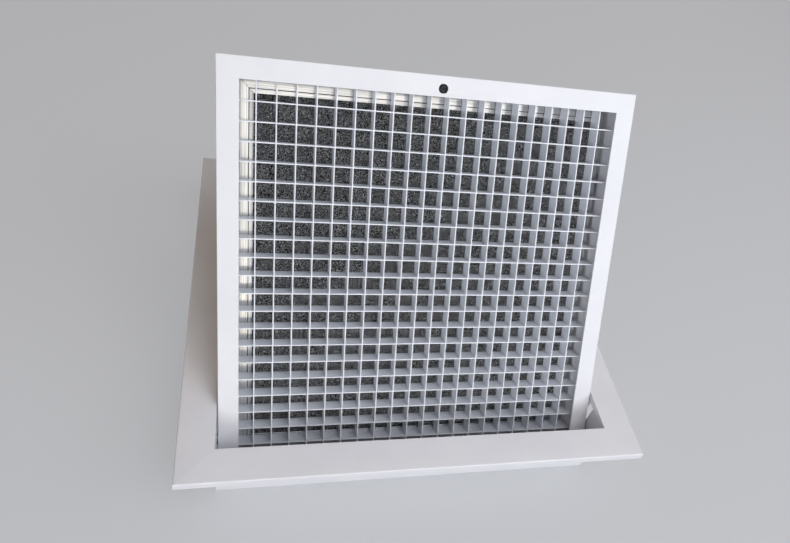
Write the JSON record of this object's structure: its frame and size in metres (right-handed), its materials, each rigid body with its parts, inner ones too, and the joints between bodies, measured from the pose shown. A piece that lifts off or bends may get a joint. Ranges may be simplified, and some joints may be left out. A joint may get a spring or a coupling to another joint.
{
  "type": "eggcrate return air grille",
  "caption": "Square ceiling or wall return air grille: a flanged neck frame with a hinged eggcrate door that swings open and holds a framed filter pad.",
  "frame": {"origin": "centre of the square that the neck's rear edge lies on, at the bottom of the part", "axes": "+X across the grille along the hinge line, +Y from the hinge side to the latch side, +Z out of the neck towards the room through the face; the face of the outer frame is the plane z = 0.060"},
  "size_m": [0.3484, 0.3484, 0.2637],
  "materials": {
    "frame_coat": "satin white powder coat on extruded aluminium",
    "door_coat": "satin white powder coat on extruded aluminium",
    "core_coat": "satin white powder coat on aluminium strip",
    "filter_metal": "bright mill finish with fine die lines",
    "filter_pad": "charcoal non-woven fibre",
    "clip_steel": "zinc-plated spring steel",
    "pin_steel": "bright zinc plate",
    "latch_metal": "black oxide",
    "key_metal": "plain die-cut aluminium"
  },
  "bodies": {
    "frame": {"outer_frame_bottom": "frame_coat", "outer_frame_right": "frame_coat", "outer_frame_top": "frame_coat", "outer_frame_left": "frame_coat", "outer_corner_keys": "key_metal"},
    "pivots": {"hinge_pin_left": "pin_steel", "hinge_pin_right": "pin_steel"},
    "door": {"door_frame_bottom": "door_coat", "door_frame_right": "door_coat", "door_frame_top": "door_coat", "door_frame_left": "door_coat", "door_corner_keys": "key_metal", "upright_blade_01": "core_coat", "upright_blade_02": "core_coat", "upright_blade_03": "core_coat", "upright_blade_04": "core_coat", "upright_blade_05": "core_coat", "upright_blade_06": "core_coat", "upright_blade_07": "core_coat", "upright_blade_08": "core_coat", "upright_blade_09": "core_coat", "upright_blade_10": "core_coat", "upright_blade_11": "core_coat", "upright_blade_12": "core_coat", "upright_blade_13": "core_coat", "upright_blade_14": "core_coat", "upright_blade_15": "core_coat", "upright_blade_16": "core_coat", "upright_blade_17": "core_coat", "upright_blade_18": "core_coat", "upright_blade_19": "core_coat", "upright_blade_20": "core_coat", "cross_blade_01": "core_coat", "cross_blade_02": "core_coat", "cross_blade_03": "core_coat", "cross_blade_04": "core_coat", "cross_blade_05": "core_coat", "cross_blade_06": "core_coat", "cross_blade_07": "core_coat", "cross_blade_08": "core_coat", "cross_blade_09": "core_coat", "cross_blade_10": "core_coat", "cross_blade_11": "core_coat", "cross_blade_12": "core_coat", "cross_blade_13": "core_coat", "cross_blade_14": "core_coat", "cross_blade_15": "core_coat", "cross_blade_16": "core_coat", "cross_blade_17": "core_coat", "cross_blade_18": "core_coat", "cross_blade_19": "core_coat", "cross_blade_20": "core_coat", "filter_frame_bottom": "filter_metal", "filter_frame_right": "filter_metal", "filter_frame_top": "filter_metal", "filter_frame_left": "filter_metal", "filter_media": "filter_pad", "filter_clips": "clip_steel"},
    "latch": {"latch_spindle": "latch_metal", "latch_tongue": "clip_steel"}
  },
  "joints": [
    {"name": "pin_slide", "type": "slide", "parent": "frame", "child": "pivots", "axis": [0, 0, 1], "range_m": [0, 0.022]},
    {"name": "door_swing", "type": "hinge", "parent": "pivots", "child": "door", "pos_m": [0, -0.12405, 0.02778], "axis": [1, 0, 0], "range_deg": [-57.92, 0]},
    {"name": "latch_turn", "type": "hinge", "parent": "door", "child": "latch", "pos_m": [0, 0.00729, 0.25656], "axis": [0, -0.8473, 0.5311], "range_deg": [0, 90]}
  ],
  "couplings": [
    {"joint": "pin_slide", "follows": "door_swing", "m_per_rad": -0.02176}
  ]
}
